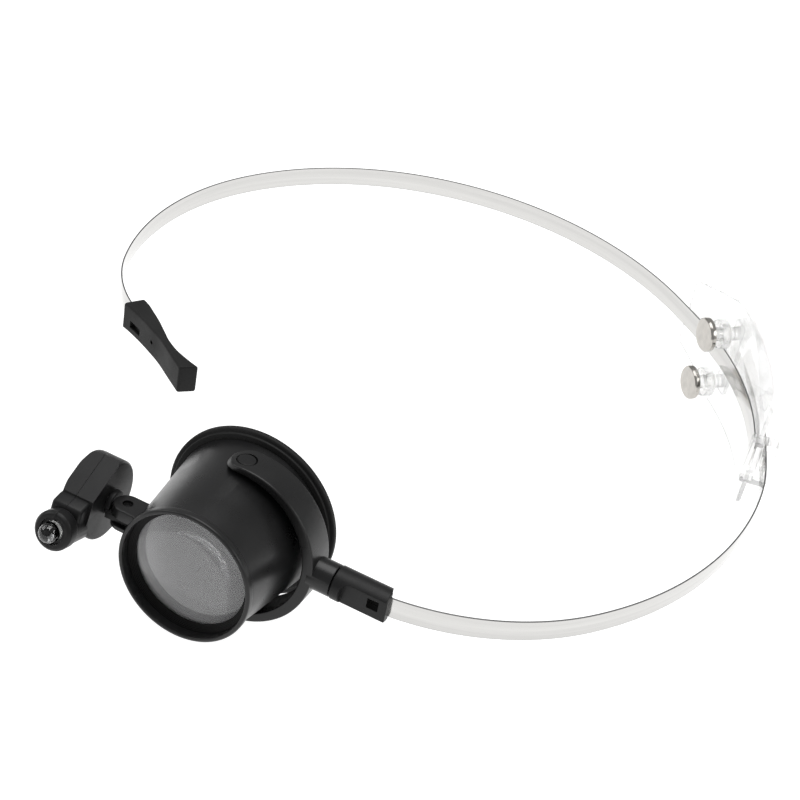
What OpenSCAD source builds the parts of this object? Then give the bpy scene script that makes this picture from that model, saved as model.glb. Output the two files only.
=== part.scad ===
// Single-eye headband loupe with a tilting LED lamp, in millimetres.
// Origin at the centre of the head loop, +Z up, the wearer looks along -Y, +X is the wearer's left.

/* [Headband] */
// Width of the steel strips
band_width = 6; // [5:0.5:7]
// Thickness of the steel strips
band_thick = 0.4; // [0.3:0.05:0.5]
// Radius of the free strip where it runs through the adjuster
guide_radius = 90.8; // [90.6:0.1:91]
// Height of the clear rear plate
plate_height = 36; // [30:1:40]
// Thickness of the clear rear plate
plate_thick = 1.3; // [1:0.1:1.4]
// Diameter of the flat stud heads
stud_head_dia = 10; // [8:0.5:11]
// Height of each stud above and below the strip
stud_height = 8.7; // [8.5:0.1:10]
// Length of the end pad
pad_length = 32; // [26:1:34]
// Height of the end pad
pad_height = 8.4; // [7.4:0.2:9]

/* [Clip and yoke] */
// Diameter of the round bar that carries the loupe
bar_dia = 8.56; // [8.4:0.02:9]
// Diameter of the steel swivel pin inside the bar
swivel_pin_dia = 3; // [2.6:0.1:3.2]
// Front-to-back width of the yoke
yoke_width = 8.6; // [7.6:0.2:8.8]
// Diameter of the two barrel pin heads
barrel_pin_head_dia = 4.5; // [4:0.1:4.8]
// Diameter of the two barrel pin shanks
barrel_pin_dia = 3; // [2.6:0.1:3.2]

/* [Barrel] */
// Upward pitch of the barrel at rest, in degrees
rest_pitch = 4.65; // [3:0.05:6]
// Diameter of the front rim
rim_dia = 35; // [34.6:0.1:35.4]
// Diameter of the mouth inside the front rim
mouth_dia = 32.8; // [32.6:0.1:33]
// Diameter of the eyecup flange
flange_dia = 46; // [44:0.5:47]
// Clear diameter of the lens
lens_view_dia = 29.4; // [28.8:0.1:29.8]
// Radius of curvature of both lens faces
lens_curve = 60; // [44:1:80]

/* [Lamp] */
// Upward pitch of the lamp at rest, in degrees
lamp_pitch = 20; // [0:1:40]
// Diameter of the round battery housing
drum_dia = 20.7; // [20.2:0.1:21]
// Width of the battery housing
drum_width = 9.4; // [9.2:0.1:9.8]
// Diameter of the snout that holds the light
snout_dia = 10; // [9.6:0.1:10.2]
// Diameter of the light's clear body
led_dia = 5; // [4.8:0.1:5]
// Diameter of the two button cells
cell_dia = 11.6; // [11:0.1:11.8]

/* [Hidden] */
$fn = 96;
band_fn = 180;
band_step = 3;                // degrees
lens_fn = 360;
cut = 0.5;                    // how far a cutter runs past the face it cuts
fit_gap = 0.05;               // radial clearance of a running fit
slide_gap = 0.3;              // clearance of a loose slide

// headband: each strip is a chain of tangent arcs, [radius, degrees of turn]
band_y = -90;
clip_end_x = 32.4;
strip_start_x = 33;
loupe_strip_start = [strip_start_x, band_y, 0];
loupe_strip_arcs = [[2, 9], [67, 42.6], [96, 44], [69, 10.6], [283, 11.8]];
guide_start = 14;
guide_end = 52;
free_strip_start = [guide_radius * cos(guide_start), guide_radius * sin(guide_start), guide_start + 90];
free_strip_arcs = [[guide_radius, guide_end - guide_start], [392, 1.8], [92.5, 63.7], [89, 34.7],
                   [74, 48.7], [38, 38.3], [400, 0.9]];

// rear adjuster
plate_mean_angle = 36.5;
plate_spread = 2.43;          // how far the plate's centre is moved, so that it runs outwards
plate_inner = 92.15;
plate_left = 33.5;            // tangential distances from the plate's middle
plate_corner = 12.8;
plate_right = -33;
plate_left_height = 22;
plate_tongue = 3;
plate_tongue_height = 11;
stud_angle = 43;
stud_face_r = 82;
stud_head_thick = 1.8;
stud_bevel = 0.5;
stud_neck_dia = 4;
collar_dia = 8.6;
collar_front_r = 86.4;
collar_back_r = 89.2;
clamp_front_r = 94;
clamp_back_r = 95.6;
clamp_width = 6;
clamp_height = 24;
slider_angle = 13.5;
slider_front_r = 89.2;
slider_back_r = 96.6;
slider_width = 4.4;
slider_height = 14;
inner_slot = [90.2, 92.65];
outer_slot = [93.15, 94.4];

// end pad outline: [share of its length, distance from the line along it]
pad_start = [-77.3, -29.7];
pad_heading = -30.4;
pad_outer = [[-0.01, -3.4], [0.07, -2.9], [0.225, -2.3], [0.4, -1.95], [0.56, -1.85], [0.78, -2.45],
             [0.965, -2.9]];
pad_inner = [[1.01, 2.05], [0.905, 1.2], [0.75, 0.3], [0.6, 0.35], [0.46, 1.15], [0.32, 1.95], [0.2, 2.4],
             [0.085, 2.75], [0, 2.6]];
pad_strip_y = -0.88;
pad_slot = [8.5, 1.1];        // depth from the near end, width
pad_recess_place = [3, -3, -2.2];
pad_recess = [4.8, 1.2, 2.2];
pad_hole_x = 13.6;
pad_hole_dia = 1.2;

// clip and yoke, placed by their X along the bar
bar_r = bar_dia / 2;
collar_start_x = 11.5;
split_x = 18;
split_gap = 0.3;
panel_y = -2;                 // the flat panel's distance in front of the bar's axis
panel_x = 20.6;
panel_top = 3.2;
panel_corner_r = 2.6;
window_x = 28.8;
window_size = 3;
pin_start_x = 12.8;
pin_end_x = 25.4;
strip_slot_x = 26.2;
washer_dia = 4.8;
washer_thick = 0.6;
yoke_middle = -0.3;
yoke_outer_r = 21.8;
yoke_outer_shift = 2.4;
yoke_inner_r = 20.1;
yoke_inner_shift = 1.1;
barrel_pin_x = 0.6;
barrel_pin_start = 17.1;
barrel_pin_shoulder = 20.75;
barrel_pin_top = 21.65;

// barrel: distances along its axis from the pins, forward positive
barrel_x = -10.8;
rim_front = 22.4;
rim_back = 20.2;
rim_round = 0.35;
cone_front_r = 16.9;
cone_back_r = 20.3;
barrel_back = -8.7;
wall = 1.7;
spigot_r = 18.6;
spigot_front = -6.5;
seat_front = 15.9;
seat_back = 14;
seat_slope = 1;
seat_r = 15;
lens_middle = 17.2;
lens_rim_r = 16.1;
lens_rim_thick = 1.6;
retainer_front = 19.9;
retainer_back = 18.2;
retainer_gap = 0.15;          // clear of the lens at its inner edge
retainer_lip = 0.35;
retainer_step = [0.5, 2.2];   // outwards from its inner edge, forwards from the lens's middle
retainer_slope = 1.2;
flange_back = -10.8;
flange_rest = 1.5;            // width of the ring that meets the face
flange_round = 0.9;
flange_fall = 0.35;
flange_root = 0.3;
flange_dish = 1.1;
eyecup_wall = 1;
eyecup_lip = 0.1;

// lug on the barrel's side, and the knuckle that turns in it
lug_forward = 10.84;
lug_width = 7;
lug_height = 6.2;
lug_root_x = -16.9;
lug_pin_x = -22.7;
lug_pin_dia = 2;
lug_pin_recess = 0.8;
fork = [-1.9, 0.2];
fork_root_x = -19.2;
tongue_gap = 0.12;
tongue_eye_r = 3.1;
tongue_width = 5;

// lamp: its snout runs along -Y and its drum's axis along X
lamp_centre = [-43.7, -99.26, 0.84];
drum_r = drum_dia / 2;
half_drum = drum_width / 2;
drum_face_r = 9.8;
outer_face_r = 8;
outer_face_x = -4.2;
outer_edge = [[0.6, 0.1], [2.2, 1], [2.35, 2.2]];   // [outwards, inwards] from the outer face's rim
inner_edge = 0.5;
slope_angle = 46.8;           // a flat across the front of the drum
slope_distance = 7.75;
shoulder = 9.2;
neck_dia = 9.4;
neck_end = 13.2;
neck_top = 1.6;
neck_fall = 1.6;
neck_inset = 0.4;
neck_chamfer = 0.6;
neck_root = 3;                // how far the neck reaches into the drum
snout_drop = -5.6;
snout_front = 16.7;
snout_chamfer = 0.6;
seam_gap = 0.01;
cavity_r = cell_dia / 2 + 0.3;
cavity = [-3.6, 3.05];
cell_thick = 3.05;
cells_end = 2.95;
contact_dia = 8;
contact = [-3.55, -3.25];
led_pocket = [11, 12.1];
led_recess_dia = 6.6;
led_recess = 0.8;
led_straight = 17.7;
led_flange_dia = 5.8;
lead_dia = 0.5;
lead_pitch = 2.54;
lead_length = 4;
knuckle_gap = 0.3;
boss_dia = 6.8;
boss_end_x = -37.35;
axle_dia = 2.4;
axle_head_dia = 4.6;
axle_head = [3.1, 3.6];
screw_offset = 5.1;
screw_dia = 1.6;
screw_head_dia = 2.6;
screw_head = [-3.95, -3.3];
screw_end = 3.4;
button_dia = 4;
button_flange_dia = 5;
button = [7.3, 7.9, 11.3];    // flange's inner face, its outer face, the cap's top
button_pocket_end = 8;
dome_dia = 4.6;
dome = [6.12, 6.3];

function after_arc(state, arc) =
    let (h = state[2], turned = h + arc[1])
    [state.x + arc[0] * (sin(turned) - sin(h)), state.y - arc[0] * (cos(turned) - cos(h)), turned];
function after_arcs(state, arcs, count) =
    count == 0 ? state : after_arc(after_arcs(state, arcs, count - 1), arcs[count - 1]);

// points along tangent arcs, each arc in steps of about band_step degrees
function arc_points(state, arc) =
    let (steps = ceil(arc[1] / band_step))
    [for (k = [1 : steps]) after_arc(state, [arc[0], arc[1] * k / steps])];
function chain_points(start, arcs) =
    concat([start], [for (i = [0 : len(arcs) - 1]) each arc_points(after_arcs(start, arcs, i), arcs[i])]);
function beside(state, distance) = [state.x + distance * sin(state[2]), state.y - distance * cos(state[2])];

// ---- shared shapes ----
// a strip on edge that follows a list of [x, y, heading]
module strip_along(states)
    translate([0, 0, -band_width / 2])
        linear_extrude(band_width)
            polygon(concat([for (state = states) beside(state, band_thick / 2)],
                           [for (i = [len(states) - 1 : -1 : 0]) beside(states[i], -band_thick / 2)]));

module in_barrel_frame()
    translate([barrel_x, band_y, 0])
        rotate([-rest_pitch, 0, 0])
            children();

module in_lamp_frame()
    translate(lamp_centre)
        rotate([-lamp_pitch, 0, 0])
            children();

// turns a profile of [radius, distance forward] about the local -Y axis
module turned_forward()
    rotate([90, 0, 0])
        rotate_extrude()
            children();

// rods along the local -Y and +X axes; a second diameter makes them taper
module forward_rod(dia, from, to, end_dia = 0)
    translate([0, -from, 0])
        rotate([90, 0, 0])
            cylinder(h = to - from, d1 = dia, d2 = end_dia > 0 ? end_dia : dia);

module cross_rod(dia, from, to, end_dia = 0)
    translate([from, 0, 0])
        rotate([0, 90, 0])
            cylinder(h = to - from, d1 = dia, d2 = end_dia > 0 ? end_dia : dia);

// a plate drawn in [tangential, height] and extruded outwards from the loop's axis
module radial_extrude(from, to)
    translate([from, 0, 0])
        rotate([90, 0, 90])
            linear_extrude(to - from)
                children();

// ---- headband ----
module band_loupe() color("gainsboro")
    strip_along(concat([[strip_slot_x + slide_gap, band_y, 0]],
                       chain_points(loupe_strip_start, loupe_strip_arcs)));

module band_free() color("gainsboro")
    strip_along(chain_points(free_strip_start, free_strip_arcs));

// the panel's outline in [x, z]: a square corner below, a round one above
module clip_panel_outline() {
    translate([panel_x, -bar_dia])
        square([panel_corner_r, bar_dia + panel_top - panel_corner_r]);
    translate([panel_x + panel_corner_r, -bar_dia])
        square([clip_end_x, bar_dia + panel_top]);
    translate([panel_x + panel_corner_r, panel_top - panel_corner_r])
        circle(r = panel_corner_r);
}

module band_clip() color("#1b1b1b")
    translate([0, band_y, 0])
        difference() {
            cross_rod(bar_dia, split_x + split_gap, clip_end_x);
            translate([0, panel_y, 0])
                rotate([90, 0, 0])
                    linear_extrude(bar_dia)
                        clip_panel_outline();
            cross_rod(swivel_pin_dia + 2 * fit_gap, split_x, pin_end_x + slide_gap);
            cross_rod(washer_dia + 2 * slide_gap, split_x, split_x + washer_thick + slide_gap);
            translate([window_x - window_size / 2, -bar_dia, -window_size / 2])
                cube([window_size, bar_dia - band_thick / 2, window_size]);
            translate([strip_slot_x, -band_thick / 2, -band_width / 2])
                cube([clip_end_x, band_thick, band_width]);
        }

module plate_outline()
    polygon([[plate_right - plate_tongue, -plate_tongue_height / 2], [plate_right, -plate_tongue_height / 2],
             [plate_right, -plate_height / 2], [plate_corner, -plate_height / 2],
             [plate_left, -plate_left_height / 2], [plate_left, plate_left_height / 2],
             [plate_corner, plate_height / 2], [plate_right, plate_height / 2],
             [plate_right, plate_tongue_height / 2], [plate_right - plate_tongue, plate_tongue_height / 2]]);

module stud_places()
    rotate(stud_angle)
        for (height = [-stud_height, stud_height])
            translate([0, 0, height])
                children();

module rear_plate() color("white", 0.4)
    difference() {
        intersection() {
            rotate(plate_mean_angle + 90)
                translate([plate_spread, 0, 0])
                    rotate_extrude($fn = band_fn)
                        translate([plate_inner, -plate_height / 2])
                            square([plate_thick, plate_height]);
            rotate(plate_mean_angle)
                radial_extrude(plate_inner / 2, plate_inner + plate_height)
                    plate_outline();
        }
        stud_places()
            cross_rod(stud_neck_dia, collar_front_r, clamp_back_r);
    }

module rear_clamp_block() color("white", 0.4)
    difference() {
        rotate(stud_angle)
            translate([clamp_front_r, -clamp_width / 2, -clamp_height / 2])
                cube([clamp_back_r - clamp_front_r, clamp_width, clamp_height]);
        stud_places()
            cross_rod(stud_neck_dia, clamp_front_r - cut, clamp_back_r + cut);
    }

// loop at the plate's end: it holds the tail of the loupe strip and guides the free strip
module rear_slider() color("white", 0.4)
    rotate(slider_angle)
        difference() {
            translate([slider_front_r, -slider_width / 2, -slider_height / 2])
                cube([slider_back_r - slider_front_r, slider_width, slider_height]);
            translate([inner_slot[0], -slider_width, -plate_tongue_height / 2 - slide_gap])
                cube([inner_slot[1] - inner_slot[0], 2 * slider_width, plate_tongue_height + 2 * slide_gap]);
            translate([outer_slot[0], -slider_width, -band_width / 2 - slide_gap])
                cube([outer_slot[1] - outer_slot[0], 2 * slider_width, band_width + 2 * slide_gap]);
        }

module stud() color("silver") {
    cross_rod(stud_head_dia - 2 * stud_bevel, stud_face_r, stud_face_r + stud_bevel, stud_head_dia);
    cross_rod(stud_head_dia, stud_face_r + stud_bevel, stud_face_r + stud_head_thick);
    cross_rod(stud_neck_dia, stud_face_r + stud_head_thick, clamp_back_r);
}

module stud_upper() rotate(stud_angle) translate([0, 0, stud_height]) stud();
module stud_lower() rotate(stud_angle) translate([0, 0, -stud_height]) stud();

module stud_collar() color("white", 0.4)
    difference() {
        cross_rod(collar_dia, collar_front_r, collar_back_r);
        cross_rod(stud_neck_dia, collar_front_r - cut, collar_back_r + cut);
    }

module stud_collar_upper() rotate(stud_angle) translate([0, 0, stud_height]) stud_collar();
module stud_collar_lower() rotate(stud_angle) translate([0, 0, -stud_height]) stud_collar();

module end_pad() color("#161616")
    translate(pad_start)
        rotate(pad_heading)
            difference() {
                translate([0, 0, -pad_height / 2])
                    linear_extrude(pad_height)
                        polygon([for (p = concat(pad_outer, pad_inner)) [p[0] * pad_length, p[1]]]);
                translate([-2 * cut, pad_strip_y - pad_slot[1] / 2, -band_width / 2])
                    cube([pad_slot[0] + 2 * cut, pad_slot[1], band_width]);
                translate(pad_recess_place)
                    cube(pad_recess);
                translate([pad_hole_x, 0, 0])
                    forward_rod(pad_hole_dia, 0.5, pad_height);
            }

// ---- yoke ----
module yoke() color("#181818") {
    in_barrel_frame()
        difference() {
            intersection() {
                translate([yoke_outer_shift, 0, 0])
                    forward_rod(2 * yoke_outer_r, yoke_middle - yoke_width / 2, yoke_middle + yoke_width / 2);
                union() {
                    translate([barrel_pin_x, -yoke_middle - yoke_width / 2 - cut, -yoke_outer_r - cut])
                        cube([2 * yoke_outer_r, yoke_width + 2 * cut, 2 * (yoke_outer_r + cut)]);
                    translate([barrel_pin_x, -yoke_middle, -yoke_outer_r - cut])
                        cylinder(h = 2 * (yoke_outer_r + cut), d = yoke_width);
                }
            }
            translate([yoke_inner_shift, 0, 0])
                forward_rod(2 * yoke_inner_r, -yoke_width, yoke_width);
            for (side = [0, 180])
                rotate([side, 0, 0])
                    translate([barrel_pin_x, 0, barrel_pin_start]) {
                        cylinder(h = yoke_outer_r, d = barrel_pin_dia);
                        translate([0, 0, barrel_pin_shoulder - barrel_pin_start])
                            cylinder(h = yoke_outer_r, d = barrel_pin_head_dia);
                    }
        }
    translate([0, band_y, 0])
        difference() {
            cross_rod(bar_dia, collar_start_x, split_x);
            cross_rod(swivel_pin_dia, pin_start_x, split_x + cut);
        }
}

module swivel_pin() color("silver")
    translate([0, band_y, 0])
        cross_rod(swivel_pin_dia, pin_start_x, pin_end_x);

module swivel_washer() color("dimgray")
    translate([0, band_y, 0])
        difference() {
            cross_rod(washer_dia, split_x, split_x + washer_thick);
            cross_rod(swivel_pin_dia, split_x - cut, split_x + washer_thick + cut);
        }

module yoke_pin() color("#202020")
    translate([barrel_pin_x, 0, 0]) {
        translate([0, 0, barrel_pin_start])
            cylinder(h = barrel_pin_shoulder - barrel_pin_start, d = barrel_pin_dia);
        translate([0, 0, barrel_pin_shoulder])
            cylinder(h = barrel_pin_top - barrel_pin_shoulder, d = barrel_pin_head_dia);
    }

module yoke_pin_upper() in_barrel_frame() yoke_pin();
module yoke_pin_lower() in_barrel_frame() rotate([180, 0, 0]) yoke_pin();

// ---- barrel ----
module barrel_profile()
    polygon([[cone_back_r, barrel_back], [cone_front_r, rim_back],
             [rim_dia / 2 - rim_round, rim_back], [rim_dia / 2, rim_back + rim_round],
             [rim_dia / 2, rim_front - rim_round], [rim_dia / 2 - rim_round, rim_front],
             [mouth_dia / 2 + rim_round / 2, rim_front], [mouth_dia / 2, rim_front - rim_round / 2],
             [mouth_dia / 2, seat_front], [seat_r, seat_front], [seat_r, seat_back],
             [cone_front_r - wall / 2, seat_back - seat_slope], [spigot_r - wall / 4, spigot_front],
             [spigot_r, spigot_front], [spigot_r, barrel_back]]);

module lug_solid() {
    translate([lug_pin_x, -lug_forward - lug_width / 2, -lug_height / 2])
        cube([lug_root_x - lug_pin_x, lug_width, lug_height]);
    translate([lug_pin_x, -lug_forward, -lug_height / 2])
        cylinder(h = lug_height, d = lug_width);
}

module barrel_body() color("#121212")
    in_barrel_frame()
        difference() {
            union() {
                turned_forward()
                    barrel_profile();
                lug_solid();
            }
            translate([barrel_pin_x, 0, -yoke_outer_r])
                cylinder(h = 2 * yoke_outer_r, d = barrel_pin_dia + 2 * fit_gap);
            translate([lug_pin_x - lug_width, -lug_forward - lug_width, fork[0]])
                cube([fork_root_x - lug_pin_x + lug_width, 2 * lug_width, fork[1] - fork[0]]);
            translate([lug_pin_x, -lug_forward, -lug_height])
                cylinder(h = 2 * lug_height, d = lug_pin_dia);
        }

module eyecup() color("#141414") {
    inner_r = spigot_r - eyecup_wall;
    outer_r = flange_dia / 2;
    in_barrel_frame()
        turned_forward()
            polygon([[inner_r, spigot_front + eyecup_lip], [spigot_r, spigot_front - eyecup_lip],
                     [spigot_r, barrel_back], [cone_back_r + flange_root, barrel_back],
                     [outer_r - flange_round, barrel_back - flange_fall],
                     [outer_r, barrel_back - flange_round],
                     [outer_r, flange_back], [outer_r - flange_rest, flange_back],
                     [cone_back_r, barrel_back - flange_dish], [inner_r, barrel_back - flange_round]]);
}

// how far each lens face stands from the lens's middle at a distance r from its axis
function lens_face(r) =
    lens_rim_thick / 2 + sqrt(pow(lens_curve, 2) - pow(r, 2)) - sqrt(pow(lens_curve, 2) - pow(lens_rim_r, 2));

module lens() color("lightcyan", 0.5) {
    face_offset = lens_curve - lens_face(0);
    in_barrel_frame()
        translate([0, -lens_middle, 0])
            intersection() {
                translate([0, face_offset, 0])
                    sphere(r = lens_curve, $fn = lens_fn);
                translate([0, -face_offset, 0])
                    sphere(r = lens_curve, $fn = lens_fn);
                forward_rod(2 * lens_rim_r, -lens_rim_r / 2, lens_rim_r / 2);
            }
}

module lens_retainer() color("#0e0e0e") {
    inner_r = lens_view_dia / 2;
    outer_r = mouth_dia / 2;
    inner_back = lens_middle + lens_face(inner_r) + retainer_gap;
    in_barrel_frame()
        turned_forward()
            polygon([[inner_r, inner_back], [inner_r, inner_back + retainer_lip],
                     [inner_r + retainer_step[0], lens_middle + retainer_step[1]],
                     [inner_r + retainer_slope, retainer_front], [outer_r, retainer_front],
                     [outer_r, retainer_back], [lens_rim_r, retainer_back]]);
}

module lug_pin() color("silver")
    in_barrel_frame()
        translate([lug_pin_x, -lug_forward, -lug_height / 2])
            cylinder(h = lug_height - lug_pin_recess, d = lug_pin_dia);

// ---- lamp ----
module lamp_knuckle() color("#101010") {
    in_barrel_frame()
        translate([lug_pin_x, -lug_forward, fork[0] + tongue_gap])
            difference() {
                union() {
                    cylinder(h = fork[1] - fork[0] - 2 * tongue_gap, r = tongue_eye_r);
                    translate([boss_end_x - barrel_x - lug_pin_x - cut, -tongue_width / 2, 0])
                        cube([lug_pin_x + barrel_x - boss_end_x + cut, tongue_width,
                              fork[1] - fork[0] - 2 * tongue_gap]);
                }
                translate([0, 0, -cut])
                    cylinder(h = lug_height, d = lug_pin_dia + 2 * fit_gap);
            }
    translate(lamp_centre)
        difference() {
            cross_rod(boss_dia, half_drum + knuckle_gap, boss_end_x - lamp_centre.x);
            cross_rod(axle_dia, 0, boss_end_x - lamp_centre.x + cut);
        }
}

module lamp_axle() color("silver")
    translate(lamp_centre) {
        cross_rod(axle_head_dia, axle_head[0], axle_head[1]);
        cross_rod(axle_dia, axle_head[1], boss_end_x - lamp_centre.x - 0.1);
    }

module drum_profile() {
    edge_scale = (drum_r - outer_face_r) / outer_edge[2][0];
    polygon(concat([[0, outer_face_x], [outer_face_r, outer_face_x]],
                   [for (step = outer_edge) [outer_face_r + step[0] * edge_scale, outer_face_x + step[1]]],
                   [[drum_r, half_drum - inner_edge], [drum_face_r, half_drum], [0, half_drum]]));
}

module lamp_outside() {
    difference() {
        rotate([0, 90, 0])
            rotate_extrude()
                drum_profile();
        translate([-drum_r, -drum_dia - shoulder, -drum_r])
            cube([drum_dia, drum_dia, drum_dia]);
        rotate([-slope_angle, 0, 0])
            translate([-drum_r, -drum_dia - slope_distance, -drum_r])
                cube([drum_dia, drum_dia, drum_dia]);
    }
    translate([neck_inset - neck_dia / 2, 0, 0])
        rotate([90, 0, 90])
            linear_extrude(neck_dia - 2 * neck_inset)
                polygon([[neck_root - shoulder, snout_drop], [neck_chamfer - neck_end, snout_drop],
                         [neck_chamfer - neck_end, neck_top - neck_fall], [-shoulder, neck_top],
                         [neck_root - shoulder, neck_top]]);
    translate([0, 0, snout_drop]) {
        forward_rod(neck_dia, shoulder - neck_root, neck_end);
        forward_rod(snout_dia, neck_end, snout_front - snout_chamfer);
        forward_rod(snout_dia, snout_front - snout_chamfer, snout_front, snout_dia - 2 * snout_chamfer);
    }
}

module lamp_inside() {
    cross_rod(2 * cavity_r, cavity[0], cavity[1]);
    cross_rod(axle_head_dia + 2 * fit_gap, 0, axle_head[1]);
    cross_rod(axle_dia + 2 * fit_gap, 0, drum_width);
    translate([0, 0, snout_drop]) {
        forward_rod(led_dia, led_pocket[0], snout_front + cut);
        forward_rod(led_flange_dia, led_pocket[0], led_pocket[1]);
        forward_rod(led_recess_dia, snout_front - led_recess, snout_front + cut);
        translate([-lead_pitch, -led_pocket[0] - cut, -lead_pitch / 2])
            cube([2 * lead_pitch, led_pocket[0], lead_pitch]);
    }
    rotate([180, 0, 0]) {
        forward_rod(button_flange_dia + 4 * fit_gap, 0, button_pocket_end);
        forward_rod(button_dia + 4 * fit_gap, 0, drum_r + cut);
    }
    translate([0, screw_offset, -screw_offset]) {
        cross_rod(screw_dia, -half_drum, screw_end);
        cross_rod(screw_head_dia, -half_drum - cut, screw_head[1]);
    }
}

// one half of the lamp housing: side -1 is the outer shell, side 1 the one on the knuckle
module lamp_half(side)
    in_lamp_frame()
        difference() {
            intersection() {
                lamp_outside();
                translate([side > 0 ? seam_gap : -drum_dia, -2 * drum_dia, -drum_dia])
                    cube([drum_dia - (side > 0 ? 0 : seam_gap), 4 * drum_dia, 2 * drum_dia]);
            }
            lamp_inside();
        }

module lamp_shell_left() color("#171717") lamp_half(-1);
module lamp_shell_right() color("#171717") lamp_half(1);

module led() color("ivory", 0.6)
    in_lamp_frame()
        translate([0, 0, snout_drop]) {
            forward_rod(led_flange_dia, led_pocket[0], led_pocket[1]);
            forward_rod(led_dia, led_pocket[1], led_straight);
            intersection() {
                translate([0, -led_straight, 0])
                    sphere(d = led_dia);
                forward_rod(led_dia + cut, led_straight, led_straight + led_dia);
            }
        }

module led_leads() color("silver")
    in_lamp_frame()
        for (side = [-0.5, 0.5])
            translate([side * lead_pitch, 0, snout_drop])
                forward_rod(lead_dia, led_pocket[0] - lead_length, led_pocket[0]);

module button_cells() color("silver")
    in_lamp_frame()
        for (i = [0, 1])
            cross_rod(cell_dia, cells_end - (i + 1) * cell_thick + seam_gap, cells_end - i * cell_thick);

module cell_contact() color("gold")
    in_lamp_frame()
        cross_rod(contact_dia, contact[0], contact[1]);

module shell_screw() color("silver")
    in_lamp_frame()
        translate([0, screw_offset, -screw_offset]) {
            cross_rod(screw_head_dia, screw_head[0], screw_head[1]);
            cross_rod(screw_dia, screw_head[1], screw_end);
        }

module switch_dome() color("silver")
    in_lamp_frame()
        rotate([180, 0, 0])
            forward_rod(dome_dia, dome[0], dome[1]);

module switch_button() color("#202020")
    in_lamp_frame()
        rotate([180, 0, 0]) {
            forward_rod(button_flange_dia, button[0], button[1]);
            forward_rod(button_dia, button[1], button[2]);
        }

band_loupe();
band_clip();
rear_plate();
rear_clamp_block();
rear_slider();
stud_upper();
stud_lower();
stud_collar_upper();
stud_collar_lower();
band_free();
end_pad();
yoke();
swivel_pin();
swivel_washer();
yoke_pin_upper();
yoke_pin_lower();
barrel_body();
eyecup();
lens();
lens_retainer();
lug_pin();
lamp_knuckle();
lamp_axle();
lamp_shell_left();
lamp_shell_right();
led();
led_leads();
button_cells();
cell_contact();
shell_screw();
switch_dome();
switch_button();
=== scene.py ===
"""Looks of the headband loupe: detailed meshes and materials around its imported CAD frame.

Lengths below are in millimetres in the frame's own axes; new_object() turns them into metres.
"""
import math

import bmesh
import bpy
from mathutils import Matrix, Vector


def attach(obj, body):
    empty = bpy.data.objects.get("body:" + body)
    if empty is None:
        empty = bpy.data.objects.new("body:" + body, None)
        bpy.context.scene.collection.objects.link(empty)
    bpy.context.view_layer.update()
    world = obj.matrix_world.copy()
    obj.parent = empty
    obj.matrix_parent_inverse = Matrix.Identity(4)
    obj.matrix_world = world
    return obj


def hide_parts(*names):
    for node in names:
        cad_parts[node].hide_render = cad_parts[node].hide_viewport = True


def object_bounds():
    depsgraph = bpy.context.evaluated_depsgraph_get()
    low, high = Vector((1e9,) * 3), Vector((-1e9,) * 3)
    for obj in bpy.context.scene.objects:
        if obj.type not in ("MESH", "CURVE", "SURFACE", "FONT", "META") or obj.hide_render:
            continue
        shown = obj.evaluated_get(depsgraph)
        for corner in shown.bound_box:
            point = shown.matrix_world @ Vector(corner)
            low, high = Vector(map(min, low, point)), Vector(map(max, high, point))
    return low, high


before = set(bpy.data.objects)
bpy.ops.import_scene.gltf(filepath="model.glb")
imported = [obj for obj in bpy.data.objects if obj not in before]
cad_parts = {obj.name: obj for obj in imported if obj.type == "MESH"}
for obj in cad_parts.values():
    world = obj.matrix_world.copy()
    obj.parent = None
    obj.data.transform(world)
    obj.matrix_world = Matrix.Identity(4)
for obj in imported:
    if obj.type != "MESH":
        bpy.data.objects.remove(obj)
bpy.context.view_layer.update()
MM = 0.001

# ---------------------------------------------------------------- dimensions
BAND_WIDTH = 6
BAND_THICK = 0.4
BAND_Y = -90
CLIP_END_X = 32.4
PANEL_TOP = 3.2
STRIP_START_X = 33
GUIDE_RADIUS = 90.8
GUIDE_START = 14
GUIDE_END = 52
LOUPE_STRIP_START = (STRIP_START_X, BAND_Y, 0)
LOUPE_STRIP_ARCS = [(2, 9), (67, 42.6), (96, 44), (69, 10.6), (283, 11.8)]
FREE_STRIP_ARCS = [(GUIDE_RADIUS, GUIDE_END - GUIDE_START), (392, 1.8), (92.5, 63.7),
                   (89, 34.7), (74, 48.7), (38, 38.3), (400, 0.9)]

PLATE_MEAN_ANGLE = 36.5
PLATE_SPREAD = 2.43
PLATE_INNER = 92.15
PLATE_THICK = 1.3
PLATE_HALF = [(-36, 5.5), (-33.01, 5.5), (-33, 18), (12.8, 18), (33.5, 11)]
STUD_ANGLE = 43
STUD_HEIGHT = 8.7
STUD_FACE_R = 82
CLAMP_FRONT_R = 94
CLAMP_BACK_R = 95.6
COLLAR_FRONT_R = 86.4
COLLAR_BACK_R = 89.2
SLIDER_ANGLE = 13.5

PAD_START = (-77.3, -29.7)
PAD_HEADING = -30.4
PAD_HEIGHT = 8.4
PAD_OUTER = [(-0.3, -3.4), (2.2, -2.9), (7.2, -2.3), (12.8, -1.95), (18, -1.85), (25, -2.45), (30.9, -2.9)]
PAD_INNER = [(0, 2.6), (2.7, 2.75), (6.4, 2.4), (10.3, 1.95), (14.7, 1.15), (19.2, 0.35), (24, 0.3),
             (29, 1.2), (32.3, 2.05)]
PAD_LENGTH = 32
PAD_ROUND = 0.55

BAR_R = 4.28
YOKE_MIDDLE = -0.3
YOKE_HALF = 4.3
YOKE_OUTER = (2.4, 21.8)
YOKE_INNER = (1.1, 20.1)
YOKE_BEVEL = 0.45
PIN_X = 0.6

LENS_CURVE = 60
LENS_RIM_R = 16.1
LENS_HALF_RIM = 0.8
LENS_MIDDLE = 17.2

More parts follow.
